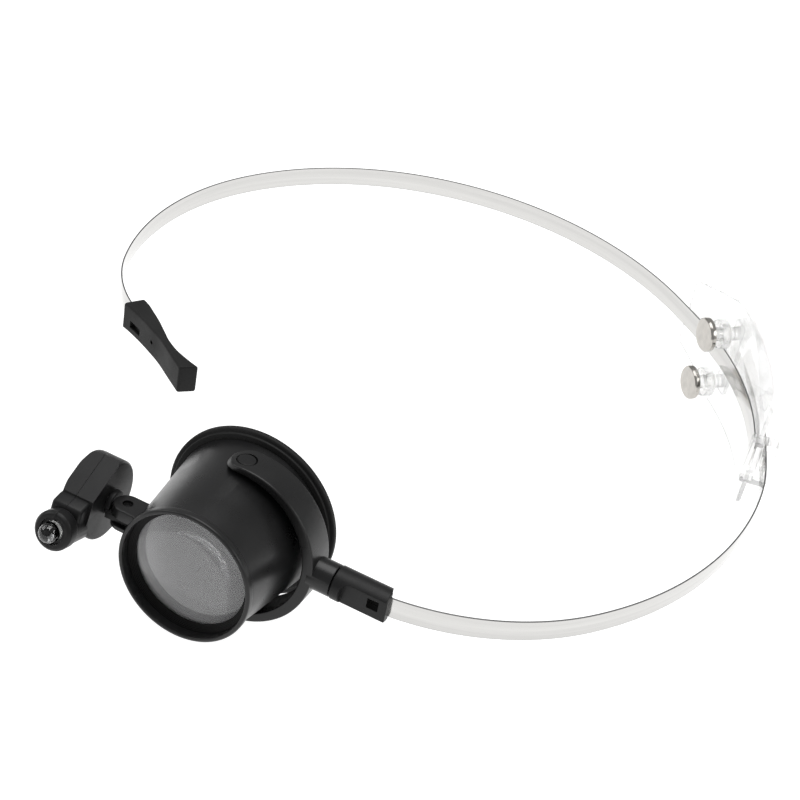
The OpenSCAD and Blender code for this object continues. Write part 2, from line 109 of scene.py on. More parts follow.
LUG_X = -22.7
LUG_FORWARD = 10.84
LAMP_CENTRE = (-43.7, -99.26, 0.84)
SNOUT_DROP = -5.6
SNOUT_FRONT = 16.7
SLOPE_ANGLE = 46.8
SLOPE_DISTANCE = 7.75
SHOULDER = 9.2

BARREL = Matrix.Translation((-10.8, BAND_Y, 0)) @ Matrix.Rotation(math.radians(-4.65), 4, "X")
LAMP = Matrix.Translation(LAMP_CENTRE) @ Matrix.Rotation(math.radians(-20), 4, "X")
BAR = Matrix.Translation((0, BAND_Y, 0))
PAD = Matrix.Translation((*PAD_START, 0)) @ Matrix.Rotation(math.radians(PAD_HEADING), 4, "Z")


def at_ring(angle, height=0):
    """Local +X points away from the loop's axis at that angle."""
    return Matrix.Rotation(math.radians(angle), 4, "Z") @ Matrix.Translation((0, 0, height))


# ---------------------------------------------------------------- mesh tools
def new_object(name, verts, faces, placing=Matrix.Identity(4), uvs=None):
    mesh = bpy.data.meshes.new(name)
    mesh.from_pydata([placing @ Vector(v) * MM for v in verts], [], faces)
    if uvs:
        layer = mesh.uv_layers.new(name="along")
        for loop in mesh.loops:
            layer.data[loop.index].uv = uvs[loop.vertex_index]
    tidy_mesh(mesh)
    piece = bpy.data.objects.new(name, mesh)
    bpy.context.scene.collection.objects.link(piece)
    return piece


def tidy_mesh(mesh, merge=1e-7):
    bm = bmesh.new()
    bm.from_mesh(mesh)
    bmesh.ops.remove_doubles(bm, verts=bm.verts, dist=merge)
    bmesh.ops.dissolve_degenerate(bm, edges=bm.edges, dist=merge)
    bmesh.ops.recalc_face_normals(bm, faces=bm.faces)
    bm.to_mesh(mesh)
    bm.free()


def smooth(piece, angle=32):
    """Smooth shading, with edges sharper than angle kept crisp."""
    mesh = piece.data
    bm = bmesh.new()
    bm.from_mesh(mesh)
    for face in bm.faces:
        face.smooth = True
    for edge in bm.edges:
        edge.smooth = not (edge.is_manifold and edge.calc_face_angle(0) > math.radians(angle))
    bm.to_mesh(mesh)
    bm.free()


def add_piece(piece, body, material, replaced=(), angle=32):
    smooth(piece, angle)
    piece.data.materials.clear()
    piece.data.materials.append(material)
    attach(piece, body)
    if replaced:
        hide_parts(*replaced)
    return piece


def combine(piece, other, operation="DIFFERENCE"):
    """Boolean of two pieces; the second is used up."""
    step = piece.modifiers.new("combine", "BOOLEAN")
    step.operation = operation
    step.solver = "MANIFOLD"
    step.object = other
    bpy.context.view_layer.update()
    result = bpy.data.meshes.new_from_object(piece.evaluated_get(bpy.context.evaluated_depsgraph_get()))
    piece.modifiers.clear()
    old, piece.data = piece.data, result
    result.name = piece.name
    bpy.data.meshes.remove(old)
    bpy.data.objects.remove(other)
    if not result.polygons:
        raise ValueError(piece.name + " lost its faces in a boolean")
    return piece


def rounded(points, radius, steps=4):
    """A closed outline with each corner turned into a short curve. A point may give its own radius."""
    result = []
    count = len(points)
    for i, point in enumerate(points):
        here = Vector(point[:2])
        before = Vector(points[i - 1][:2]) - here
        after = Vector(points[(i + 1) % count][:2]) - here
        own = point[2] if len(point) > 2 else radius
        reach = min(own, 0.45 * before.length, 0.45 * after.length)
        if reach < 1e-4 or before.angle(-after) < math.radians(6):
            result.append(tuple(here))
            continue
        start = here + before.normalized() * reach
        end = here + after.normalized() * reach
        for k in range(steps + 1):
            t = k / steps
            result.append(tuple(start * (1 - t) ** 2 + here * 2 * t * (1 - t) + end * t * t))
    return result


def arc_outline(centre, radius, start, end, steps):
    return [(centre[0] + radius * math.cos(math.radians(start + (end - start) * k / steps)),
             centre[1] + radius * math.sin(math.radians(start + (end - start) * k / steps)))
            for k in range(steps + 1)]


def lathe(name, profile, placing, axis="forward", segments=160):
    """Turns a closed profile of (radius, distance) about the local -Y axis, or the local +X axis."""
    verts, faces = [], []
    count = len(profile)
    for i in range(segments):
        turn = math.tau * i / segments
        for radius, along in profile:
            across = (radius * math.cos(turn), radius * math.sin(turn))
            verts.append((across[0], -along, across[1]) if axis == "forward" else (along, *across))
    for i in range(segments):
        for k in range(count):
            a, b = i * count + k, i * count + (k + 1) % count
            c, d = (b + count) % (segments * count), (a + count) % (segments * count)
            faces.append((a, b, c, d))
    return new_object(name, verts, faces, placing)


def rod(radius, start, end):
    """A solid lathe profile."""
    return [(0, start), (radius, start), (radius, end), (0, end)]


def inset(outline, amount):
    """The outline moved inwards, for one that runs anticlockwise."""
    result = []
    count = len(outline)
    for i in range(count):
        a, b, c = (Vector(outline[(i + k) % count]) for k in (-1, 0, 1))
        n1 = Vector((-(b - a).y, (b - a).x)).normalized()
        n2 = Vector((-(c - b).y, (c - b).x)).normalized()
        mean = (n1 + n2).normalized()
        result.append(tuple(b + mean * amount / max(0.5, mean.dot(n1))))
    return result


def prism(name, outline, low, high, placing, plane="xy", bevel=0.0, steps=4):
    """A prism on an anticlockwise outline, its end edges rounded by bevel. plane names the outline's axes."""
    levels = []
    if bevel > 0:
        for k in range(steps + 1):
            t = math.pi / 2 * k / steps
            levels.append((bevel * (1 - math.sin(t)), low + bevel * (1 - math.cos(t))))
        levels += [(amount, low + high - level) for amount, level in reversed(levels)]
    else:
        levels = [(0, low), (0, high)]
    place = {"xy": lambda p, z: (p[0], p[1], z),
             "xz": lambda p, z: (p[0], z, p[1]),
             "yz": lambda p, z: (z, p[0], p[1])}[plane]
    verts, faces = [], []
    count = len(outline)
    for amount, level in levels:
        ring = inset(outline, amount) if amount > 1e-6 else outline
        verts += [place(p, level) for p in ring]
    for i in range(len(levels) - 1):
        for k in range(count):
            j = (k + 1) % count
            faces.append((i * count + k, i * count + j, (i + 1) * count + j, (i + 1) * count + k))
    faces.append(tuple(range(count)))
    faces.append(tuple(range((len(levels) - 1) * count, len(levels) * count)))
    return new_object(name, verts, faces, placing)


def box_outline(x0, y0, x1, y1):
    return [(x0, y0), (x1, y0), (x1, y1), (x0, y1)]


def loft(name, rings, placing=Matrix.Identity(4), uvs=None):
    """Joins rings of equal length into a closed solid with flat ends."""
    count = len(rings[0])
    verts = [v for ring in rings for v in ring]
    faces = []
    for i in range(len(rings) - 1):
        for k in range(count):
            j = (k + 1) % count
            faces.append((i * count + k, i * count + j, (i + 1) * count + j, (i + 1) * count + k))
    faces.append(tuple(range(count)))
    faces.append(tuple(range((len(rings) - 1) * count, len(rings) * count)))
    return new_object(name, verts, faces, placing, uvs)


def spline(points, steps=8):
    """An open smooth curve through the points."""
    result = []
    for i in range(len(points) - 1):
        p = [Vector(points[min(max(k, 0), len(points) - 1)]) for k in (i - 1, i, i + 1, i + 2)]
        for k in range(steps):
            t = k / steps
            result.append(tuple(0.5 * (2 * p[1] + (p[2] - p[0]) * t
                                       + (2 * p[0] - 5 * p[1] + 4 * p[2] - p[3]) * t ** 2
                                       + (3 * p[1] - p[0] - 3 * p[2] + p[3]) * t ** 3)))
    return result + [tuple(points[-1])]


# ---------------------------------------------------------------- material tools
class Nodes:
    """A material's node tree with short helpers."""

    def __init__(self, name):
        self.material = bpy.data.materials.new(name)
        self.material.use_nodes = True
        self.tree = self.material.node_tree
        self.shader = self.tree.nodes["Principled BSDF"]

    def add(self, kind, **values):
        node = self.tree.nodes.new(kind)
        for key, value in values.items():
            setattr(node, key, value)
        return node

    def link(self, output, target):
        self.tree.links.new(output, target)

    def coordinates(self, scale, kind="Object", rotation=(0, 0, 0), location=(0, 0, 0)):
        place = self.add("ShaderNodeTexCoord")
        mapping = self.add("ShaderNodeMapping")
        mapping.inputs["Scale"].default_value = scale
        mapping.inputs["Rotation"].default_value = rotation
        mapping.inputs["Location"].default_value = location
        self.link(place.outputs[kind], mapping.inputs["Vector"])
        return mapping.outputs["Vector"]

    def noise(self, vector, scale, detail=3, roughness=0.5):
        node = self.add("ShaderNodeTexNoise")
        node.inputs["Scale"].default_value = scale
        node.inputs["Detail"].default_value = detail
        node.inputs["Roughness"].default_value = roughness
        if vector:
            self.link(vector, node.inputs["Vector"])
        return node.outputs["Fac"]

    def ramp(self, value, stops):
        node = self.add("ShaderNodeValToRGB")
        while len(node.color_ramp.elements) < len(stops):
            node.color_ramp.elements.new(0.5)
        for element, (position, colour) in zip(node.color_ramp.elements, stops):
            element.position = position
            element.color = (*colour, 1) if hasattr(colour, "__len__") else (colour, colour, colour, 1)
        self.link(value, node.inputs["Fac"])
        return node.outputs["Color"]

    def math(self, operation, a, b):
        node = self.add("ShaderNodeMath", operation=operation)
        for value, socket in ((a, node.inputs[0]), (b, node.inputs[1])):
            if isinstance(value, (int, float)):
                socket.default_value = value
            else:
                self.link(value, socket)
        return node.outputs[0]

    def bump(self, height, distance, strength=1.0, edge=0.0):
        """Relief of that height in metres, on edges softened by a radius of edge metres."""
        node = self.add("ShaderNodeBump")
        node.inputs["Strength"].default_value = strength
        node.inputs["Distance"].default_value = distance
        self.link(height, node.inputs["Height"])
        if edge:
            bevel = self.add("ShaderNodeBevel", samples=4)
            bevel.inputs["Radius"].default_value = edge
            self.link(bevel.outputs["Normal"], node.inputs["Normal"])
        self.link(node.outputs["Normal"], self.shader.inputs["Normal"])

    def set(self, **values):
        for key, value in values.items():
            self.shader.inputs[key.replace("_", " ")].default_value = value


def moulded_plastic(name, dark, light, smoothness, grain, specular=0.5):
    """Black moulded plastic: faint mottling, fine spark-eroded grain and softened edges."""
    m = Nodes(name)
    place = m.coordinates((1, 1, 1))
    mottle = m.noise(place, 90, 4)
    m.link(m.ramp(mottle, [(0.3, dark), (0.7, light)]), m.shader.inputs["Base Color"])
    fine = m.noise(place, 2600, 2)
    patches = m.noise(place, 160, 5, 0.6)
    blend = m.math("ADD", m.math("MULTIPLY", fine, 0.35), m.math("MULTIPLY", patches, 0.65))
    m.link(m.ramp(blend, [(0.3, smoothness[0]), (0.7, smoothness[1])]), m.shader.inputs["Roughness"])
    m.bump(fine, grain, 0.6, edge=0.00012)
    m.set(Specular_IOR_Level=specular)
    return m.material


def strip_steel():
    """Bright rolled steel with fine grain along the strip and dull sheared edges above and below."""
    m = Nodes("band_steel")
    along = m.coordinates((1, 1, 1), "UV")
    stretched = m.add("ShaderNodeMapping")
    stretched.inputs["Scale"].default_value = (4, 260, 1)
    m.link(along, stretched.inputs["Vector"])
    grain = m.noise(stretched.outputs["Vector"], 1.0, 6, 0.65)
    stains = m.noise(along, 30, 4)
    face = m.ramp(grain, [(0.3, (0.50, 0.495, 0.485)), (0.7, (0.62, 0.615, 0.60))])
    axes = m.add("ShaderNodeSeparateXYZ")
    m.link(m.coordinates((1, 1, 1)), axes.inputs["Vector"])
    from_edge = m.math("SUBTRACT", BAND_WIDTH / 2 * MM, m.math("ABSOLUTE", axes.outputs["Z"], 0))
    sheared = m.add("ShaderNodeMapRange")
    for socket, value in (("From Min", 0.0001), ("From Max", 0.00022), ("To Min", 1), ("To Max", 0)):
        sheared.inputs[socket].default_value = value
    m.link(from_edge, sheared.inputs["Value"])
    colour = m.add("ShaderNodeMix", data_type="RGBA")
    m.link(sheared.outputs["Result"], colour.inputs["Factor"])
    m.link(face, colour.inputs["A"])
    m.link(m.ramp(grain, [(0.3, 0.10), (0.7, 0.16)]), colour.inputs["B"])
    m.link(colour.outputs["Result"], m.shader.inputs["Base Color"])
    rough = m.math("ADD", m.math("MULTIPLY", grain, 0.16), m.math("MULTIPLY", stains, 0.1))
    dulled = m.math("MULTIPLY", sheared.outputs["Result"], 0.3)
    m.link(m.math("ADD", rough, dulled), m.shader.inputs["Roughness"])
    m.set(Metallic=1.0, Anisotropic=0.4)
    m.bump(grain, 0.000004, 0.5)
    return m.material


def turned_metal(name, colour, placing, roughness=0.16):
    """Plated metal with fine rings turned about the local +X axis of placing."""
    m = Nodes(name)
    local = placing.inverted()
    turn = local.to_euler()
    rings = m.add("ShaderNodeTexWave", wave_type="RINGS", rings_direction="X")
    rings.inputs["Scale"].default_value = 1400
    rings.inputs["Distortion"].default_value = 0.6
    place = m.coordinates((1, 1, 1), "Object", turn, local.translation * MM)
    m.link(place, rings.inputs["Vector"])
    spots = m.noise(place, 500, 4)
    low = tuple(c * 0.88 for c in colour)
    m.link(m.ramp(spots, [(0.35, low), (0.65, colour)]), m.shader.inputs["Base Color"])
    rough = m.math("ADD", m.math("MULTIPLY", rings.outputs["Fac"], 0.05),
                   m.math("MULTIPLY", spots, roughness))
    m.link(rough, m.shader.inputs["Roughness"])
    m.set(Metallic=1.0)
    m.bump(rings.outputs["Fac"], 0.000004, 0.4, edge=0.0001)
    return m.material


def plain_metal(name, colour, roughness, scale=700):
    """Plain metal with small scratches."""
    m = Nodes(name)
    place = m.coordinates((1, 1, 6))
    scratches = m.noise(place, scale, 6, 0.7)
    low = tuple(c * 0.8 for c in colour)
    m.link(m.ramp(scratches, [(0.35, low), (0.65, colour)]), m.shader.inputs["Base Color"])
    m.link(m.ramp(scratches, [(0.3, roughness * 0.7), (0.7, roughness * 1.3)]), m.shader.inputs["Roughness"])
    m.set(Metallic=1.0)
    m.bump(scratches, 0.000006, 0.5, edge=0.0001)
    return m.material


def clear_material(name, tint, ior, smoothness, relief, scale, alpha=1.0, clearness=1.0):
    """Glass or clear plastic with a faint haze and a slightly uneven surface."""
    m = Nodes(name)
    place = m.coordinates((1, 1, 1))
    waves = m.noise(place, scale, 2)
    haze = m.noise(place, scale * 6, 4)
    low = tuple(c * 0.985 for c in tint)
    m.link(m.ramp(haze, [(0.3, low), (0.7, tint)]), m.shader.inputs["Base Color"])
    m.link(m.ramp(haze, [(0.4, smoothness[0]), (0.75, smoothness[1])]), m.shader.inputs["Roughness"])
    m.set(IOR=ior, Transmission_Weight=clearness, Alpha=alpha)
    m.bump(waves, relief, 0.5)
    return m.material


def retainer_material():
    """Matt black with a fine speckle."""
    m = Nodes("retainer_black")
    place = m.coordinates((1, 1, 1))
    speck = m.noise(place, 3000, 3)
    m.link(m.ramp(speck, [(0.3, (0.003, 0.003, 0.003)), (0.7, (0.006, 0.006, 0.006))]),
           m.shader.inputs["Base Color"])
    m.link(m.ramp(speck, [(0.3, 0.4), (0.7, 0.6)]), m.shader.inputs["Roughness"])
    m.bump(speck, 0.00001, 0.5, edge=0.00008)
    m.set(Specular_IOR_Level=0.12)
    return m.material


MATERIALS = {
    "barrel_black": moulded_plastic("barrel_black", (0.006, 0.006, 0.0062), (0.009, 0.009, 0.0093),
                                    (0.25, 0.38), 0.000004, 0.35),
    "black_plastic": moulded_plastic("black_plastic", (0.008, 0.008, 0.0083), (0.012, 0.012, 0.0124),
                                     (0.34, 0.5), 0.000008, 0.2),
    "lamp_black": moulded_plastic("lamp_black", (0.008, 0.008, 0.0083), (0.012, 0.012, 0.0124),
                                  (0.3, 0.44), 0.000008, 0.2),
    "soft_black": moulded_plastic("soft_black", (0.008, 0.008, 0.008), (0.014, 0.014, 0.014),
                                  (0.5, 0.68), 0.00003, 0.2),
    "retainer_black": retainer_material(),
    "band_steel": strip_steel(),
    "pin_steel": plain_metal("pin_steel", (0.55, 0.55, 0.54), 0.3),
    # The lug rivet's near-black colour is painted shade: it stands for the shadow inside its recessed hole in
    # the lug.
    "pin_black": plain_metal("pin_black", (0.03, 0.03, 0.03), 0.5),
    "cell_steel": plain_metal("cell_steel", (0.7, 0.7, 0.68), 0.2),
    "contact_brass": plain_metal("contact_brass", (0.78, 0.58, 0.27), 0.3),
    "clear_plastic": clear_material("clear_plastic", (0.93, 0.93, 0.925), 1.4, (0.0, 0.06), 0.00002, 40,
                                    alpha=0.65),
    "collar_clear": clear_material("collar_clear", (0.82, 0.82, 0.81), 1.42, (0.05, 0.2), 0.00002, 60,
                                   alpha=0.7),
    "lens_glass": clear_material("lens_glass", (0.88, 0.882, 0.89), 1.5, (0.0, 0.0), 0.0000001, 30,
                                 clearness=0.88),
    "led_clear": clear_material("led_clear", (0.96, 0.97, 0.98), 1.53, (0.0, 0.04), 0.000003, 200),
}


# ---------------------------------------------------------------- headband
def after_arc(state, radius, turned):
    x, y, heading = state
    a, b = math.radians(heading), math.radians(heading + turned)
    return (x + radius * (math.sin(b) - math.sin(a)), y - radius * (math.cos(b) - math.cos(a)),
            heading + turned)


def chain(start, arcs, step=1.0):
    """Points [x, y, heading] along tangent arcs."""
    states = [start]
    for radius, turn in arcs:
        base = states[-1]
        count = max(1, math.ceil(turn / step))
        states += [after_arc(base, radius, turn * k / count) for k in range(1, count + 1)]
    return states


def strip(name, states):
    """A steel strip on edge, with rounded edges, and UVs in metres along it."""
    section = rounded(box_outline(-BAND_THICK / 2, -BAND_WIDTH / 2, BAND_THICK / 2, BAND_WIDTH / 2), 0.17, 4)
    rings, uvs = [], []
    travelled = 0
    before = states[0]
    for state in states:
        travelled += math.dist(state[:2], before[:2])
        before = state
        heading = math.radians(state[2])
        side = (math.sin(heading), -math.cos(heading))
        rings.append([(state[0] + side[0] * p[0], state[1] + side[1] * p[0], p[1]) for p in section])
        uvs += [(travelled * MM, (p[1] + (p[0] > 0) * 4 * BAND_WIDTH) * MM) for p in section]
    return loft(name, rings, uvs=uvs)


def make_bands():
    metal = MATERIALS["band_steel"]
    states = [(26.5, BAND_Y, 0)] + chain(LOUPE_STRIP_START, LOUPE_STRIP_ARCS)
    add_piece(strip("loupe_strip", states), "headband", metal, ("band_loupe",))
    start = math.radians(GUIDE_START)
    begin = (GUIDE_RADIUS * math.cos(start), GUIDE_RADIUS * math.sin(start), GUIDE_START + 90)
    add_piece(strip("free_strip", chain(begin, FREE_STRIP_ARCS)), "free_side", metal,
              ("band_free",))


def make_plate():
    """The curved clear plate, lofted along its length; each section is bent to the plate's radius."""
    half = [(PLATE_HALF[0][0], 0)] + PLATE_HALF + [(PLATE_HALF[-1][0], 0)]
    top = []
    for a, b in zip(half, half[1:]):
        pieces = max(1, int(abs(b[0] - a[0]) / 1.5))
        for k in range(pieces):
            x, height = (a[i] + (b[i] - a[i]) * k / pieces for i in (0, 1))
            top.append((x, height, 1.6 if k == 0 else 0.01))
    top = rounded(top + [half[-1]], 1.6, 5)
    rings = []
    for t, height in top:
        if height < 0.5:
            continue
        section = rounded(box_outline(0, -height, PLATE_THICK, height), 0.45, 3)
        ring = []
        for depth, z in section:
            r = PLATE_INNER + depth
            ring.append((math.sqrt(r * r - (t - PLATE_SPREAD) ** 2), t, z))
        rings.append(ring)
    plate = loft("adjuster_plate", rings, at_ring(PLATE_MEAN_ANGLE))
    add_piece(plate, "headband", MATERIALS["clear_plastic"], ("rear_plate",))


def make_adjuster():
    clear = MATERIALS["clear_plastic"]
    place = at_ring(STUD_ANGLE)
    block = prism("clamp_block", rounded(box_outline(-3, -12, 3, 12), 0.9), CLAMP_FRONT_R, CLAMP_BACK_R,
                  place, "yz", 0.3)
    add_piece(block, "headband", clear, ("rear_clamp_block",))
    place = at_ring(SLIDER_ANGLE)
    keeper = prism("strip_keeper", rounded(box_outline(89.2, -7, 96.6, 7), 0.8), -2.2, 2.2, place, "xz", 0.35)
    for i, (x0, x1, z) in enumerate([(90.2, 92.65, 5.8), (93.15, 94.4, 3.3)]):
        slot = rounded(box_outline(x0, -z, x1, z), 0.3)
        keeper = combine(keeper, prism(f"slot_{i}", slot, -3, 3, place, "xz"))
    add_piece(keeper, "headband", clear, ("rear_slider",))


def make_studs():
    """Each stud is a bright disc on a clear post, with a clear collar against the plate."""
    for name, height in (("upper", STUD_HEIGHT), ("lower", -STUD_HEIGHT)):
        place = at_ring(STUD_ANGLE, height)
        face = STUD_FACE_R
        disc = [(0, face, 0), (3.4, face, 0), (4.5, face + 0.06, 0.5), (5, face + 0.5, 0.2),
                (5, face + 1.8, 0.25), (2.6, face + 1.8, 0.1), (2.6, face + 2.2, 0.1), (0, face + 2.2)]
        chrome = turned_metal("stud_chrome_" + name, (0.50, 0.48, 0.45),
                              Matrix.Translation((0, 0, height)), 0.2)
        stud = lathe("stud_head_" + name, rounded(disc, 0), place, "cross", 96)
        add_piece(stud, "headband", chrome, ("stud_" + name,))
        post = [(0, face + 2.22), (2, face + 2.22, 0.1), (2, CLAMP_BACK_R - 0.3, 0.1),
                (1.7, CLAMP_BACK_R, 0.1), (0, CLAMP_BACK_R)]
        post = lathe("stud_post_" + name, rounded(post, 0.02), place, "cross", 96)
        add_piece(post, "headband", MATERIALS["clear_plastic"])
        collar = [(2.02, COLLAR_FRONT_R), (4.3, COLLAR_FRONT_R), (4.3, COLLAR_BACK_R), (2.02, COLLAR_BACK_R)]
        ring = lathe("stud_ring_" + name, rounded(collar, 0.3), place, "cross", 96)
        add_piece(ring, "headband", MATERIALS["collar_clear"], ("stud_collar_" + name,))


def point_along(side, share):
    """The point that share of the way along a list of points, counted in points."""
    place = share * (len(side) - 1)
    i = min(len(side) - 2, int(place))
    return Vector(side[i]).lerp(Vector(side[i + 1]), place - i)


def make_pad():
    """The pad is lofted through sections that lean across it, so its near end is cut at a slant."""
    outer, inner = spline(PAD_OUTER, 12), spline(PAD_INNER, 9)
    rings = []
    shares = [0, 0.0015, 0.005, 0.01, 0.017] + [0.03 + 0.94 * k / 60 for k in range(61)]
    shares += [0.983, 0.99, 0.995, 0.9985, 1]
    for share in shares:
        a, b = point_along(outer, share), point_along(inner, share)
        end = min(share, 1 - share) * PAD_LENGTH
        trim = PAD_ROUND - math.sqrt(max(0, PAD_ROUND ** 2 - (PAD_ROUND - min(PAD_ROUND, end)) ** 2))
        across = b - a
        wide = across.length
        section = box_outline(trim, trim - PAD_HEIGHT / 2, wide - trim, PAD_HEIGHT / 2 - trim)
        across.normalize()
        rings.append([(a.x + across.x * u, a.y + across.y * u, z) for u, z in rounded(section, 0.75, 6)])
    pad = loft("band_end_pad", rings, PAD)
    strip_slot = prism("c1", box_outline(-1, -1.43, 9, -0.33), -3, 3, PAD)
    recess = prism("c2", rounded([(2.7, -5), (7.4, -5), (7.4, -1.5), (2.7, -1.5)], 0.1), -2.2, 0, PAD)
    hole = lathe("c3", rod(0.6, 0.5, 6), PAD @ Matrix.Translation((13.6, 0, 0)), segments=32)
    for cutter in (strip_slot, recess, hole):
        pad = combine(pad, cutter)
    add_piece(pad, "free_side", MATERIALS["soft_black"], ("end_pad",))


def make_clip():
    """The round clip with its flat panel, catch window and slot; its rear end is cut at a slant."""
    profile = rounded([(0, 18.3), (BAR_R, 18.3), (BAR_R, CLIP_END_X), (0, CLIP_END_X)], 0.3)
    clip = lathe("strip_clip", profile, BAR, "cross", 128)
    panel = [(36, -6), (36, PANEL_TOP), (20.6, PANEL_TOP, 2.6), (20.6, -6)]
    flat = prism("c1", rounded(panel, 0.01, 8), -8, -2, BAR, "xz")
    window = prism("c2", rounded(box_outline(27.3, -1.5, 30.3, 1.5), 0.25), -8, -0.2, BAR, "xz")
    slot = prism("c3", box_outline(26.2, -0.21, 34, 0.21), -3, 3, BAR)
    bore = lathe("c4", rod(1.55, 17, 25.7), BAR, "cross", 48)
    counterbore = lathe("c5", rod(2.7, 17, 18.9), BAR, "cross", 48)
    slant = prism("c6", [(33.4, 0.3), (33.4, 6), (30.5, 6), (CLIP_END_X - 0.1, 0.3)], -6, 6, BAR)
    for cutter in (flat, window, slot, bore, counterbore, slant):
        clip = combine(clip, cutter)
    add_piece(clip, "headband", MATERIALS["black_plastic"], ("band_clip",), 30)


# ---------------------------------------------------------------- yoke
def yoke_ring():
    """The half ring, lofted round its bend; its tips are rounded about the barrel's pins."""
    middle = (YOKE_OUTER[0] + YOKE_INNER[0]) / 2
    radius = (YOKE_OUTER[1] + YOKE_INNER[1]) / 2
    tip = [PIN_X - YOKE_HALF * math.sin(math.radians(a)) for a in (88, 84, 79, 72, 64, 55, 45, 34, 23, 11)]
    start = math.degrees(math.acos((PIN_X - middle) / radius))
    angles = [math.degrees(math.acos((x - middle) / radius)) for x in tip]
    angles += [start - k * start / 40 for k in range(41)]
    angles += [-a for a in reversed(angles[:-1])]
    rings = []
    for angle in angles:
        c, s = math.cos(math.radians(angle)), math.sin(math.radians(angle))
        outer = Vector((YOKE_OUTER[0] + YOKE_OUTER[1] * c, YOKE_OUTER[1] * s))
        inner = Vector((YOKE_INNER[0] + YOKE_INNER[1] * c, YOKE_INNER[1] * s))
        back = max(0, PIN_X - (middle + radius * c))
        half = math.sqrt(max(0.01, YOKE_HALF ** 2 - back ** 2))
        thick = (outer - inner).length
        section = rounded(box_outline(0, -half, thick, half), min(YOKE_BEVEL, 0.4 * half), 5)
        across = (outer - inner).normalized()
        rings.append([(inner.x + across.x * p[0], p[1] - YOKE_MIDDLE, inner.y + across.y * p[0])
                      for p in section])
    return loft("yoke_arms", rings, BARREL)


def yoke_neck():
    """The round collar that carries the ring, with a small step where the clip begins."""
    radius = BAR_R - 0.12
    profile = [(0, 12), (radius, 12, 0.05), (radius, 18, 0.25), (0, 18)]
    return lathe("yoke_collar", rounded(profile, 0.02), BAR, "cross", 96)


def make_yoke():
    yoke = combine(yoke_ring(), yoke_neck(), "UNION")
    yoke = combine(yoke, lathe("c1", rod(1.5, 12.8, 19), BAR, "cross", 48))
    for name, side in (("upper", -90), ("lower", 90)):
        place = BARREL @ Matrix.Translation((PIN_X, 0, 0)) @ Matrix.Rotation(math.radians(side), 4, "Y")
        yoke = combine(yoke, lathe("c2", rod(1.5, 16, 22), place, "cross", 48))
        yoke = combine(yoke, lathe("c3", rod(2.55, 20.4, 23), place, "cross", 64))
        head = [(0, 17.1), (1.5, 17.1, 0.15), (1.5, 20.75), (2.25, 20.75), (2.25, 21.68, 0.22), (0, 21.72)]
        pin = lathe("pivot_pin_" + name, rounded(head, 0.02), place, "cross", 64)
        add_piece(pin, "yoke", MATERIALS["black_plastic"], ("yoke_pin_" + name,))
    add_piece(yoke, "yoke", MATERIALS["barrel_black"], ("yoke",), 35)


# ---------------------------------------------------------------- barrel
def barrel_tube():
    profile = [(20.3, -8.7, 0.1), (16.9, 20.2, 0.05), (17.2, 20.2, 0.1), (17.5, 20.55, 0.2),
               (17.5, 22.05, 0.3), (17.15, 22.4, 0.3), (16.6, 22.4, 0.2), (16.4, 22.2, 0.1),
               (16.4, 15.9, 0.05), (15, 15.9, 0.1), (15, 14, 0.1), (16.05, 13, 0.1), (18.2, -6.5, 0.05),
               (18.6, -6.5, 0.05), (18.6, -8.7, 0.05)]
    return lathe("barrel_tube", rounded(profile, 0.05), BARREL, segments=192)


def lug_block():
    end = arc_outline((LUG_X, -LUG_FORWARD), 3.5, 90, 270, 24)
    front, back = -LUG_FORWARD - 3.5, -LUG_FORWARD + 3.5
    root = [(-19.2, front), (-18.2, front - 0.35), (-17.5, front - 1.1), (-16.9, front - 1.4),
            (-16.9, back + 1.4), (-17.6, back + 1.1), (-18.3, back + 0.35), (-19.2, back)]
    return prism("barrel_lug", end + root, -3.1, 3.1, BARREL, "xy", 0.35)


def make_barrel():
    barrel = combine(barrel_tube(), lug_block(), "UNION")
    lug = BARREL @ Matrix.Translation((LUG_X, -LUG_FORWARD, 0)) @ Matrix.Rotation(math.radians(-90), 4, "Y")
    pivots = BARREL @ Matrix.Translation((PIN_X, 0, 0)) @ Matrix.Rotation(math.radians(-90), 4, "Y")
    cutters = [prism("c1", box_outline(-30, -18, -19.2, -4), -1.9, 0.2, BARREL),
               lathe("c2", rod(1.02, -4, 4), lug, "cross", 48),
               lathe("c3", rod(1.3, 2.3, 4), lug, "cross", 48),
               lathe("c4", rod(1.55, -22, 22), pivots, "cross", 48)]
    for cutter in cutters:
        barrel = combine(barrel, cutter)
    add_piece(barrel, "barrel", MATERIALS["barrel_black"], ("barrel_body",), 30)
    pin = [(0, -3.1), (0.98, -3.1, 0.1), (0.98, 2.3, 0.25), (0, 2.3)]
    pin = lathe("lug_rivet", rounded(pin, 0.02), lug, "cross", 48)
    # The rivet gets the near-black metal, which is painted shade for the shadow in its hole.
    add_piece(pin, "barrel", MATERIALS["pin_black"], ("lug_pin",))


def make_eyecup():
    profile = [(17.65, -6.45, 0.1), (18.55, -6.6, 0.1), (18.58, -8.72, 0.02), (20.5, -8.72, 0.15),
               (21.7, -8.85, 0.15), (21.85, -9.25, 0.12), (22.6, -9.35, 0.2), (23, -9.6, 0.2),
               (23, -10.8, 0.35), (21.6, -10.8, 0.3), (20.1, -9.8, 0.5), (17.65, -9.5, 0.3)]
    eyecup = lathe("eyecup_ring", rounded(profile, 0.1), BARREL, segments=192)
    add_piece(eyecup, "barrel", MATERIALS["soft_black"], ("eyecup",))


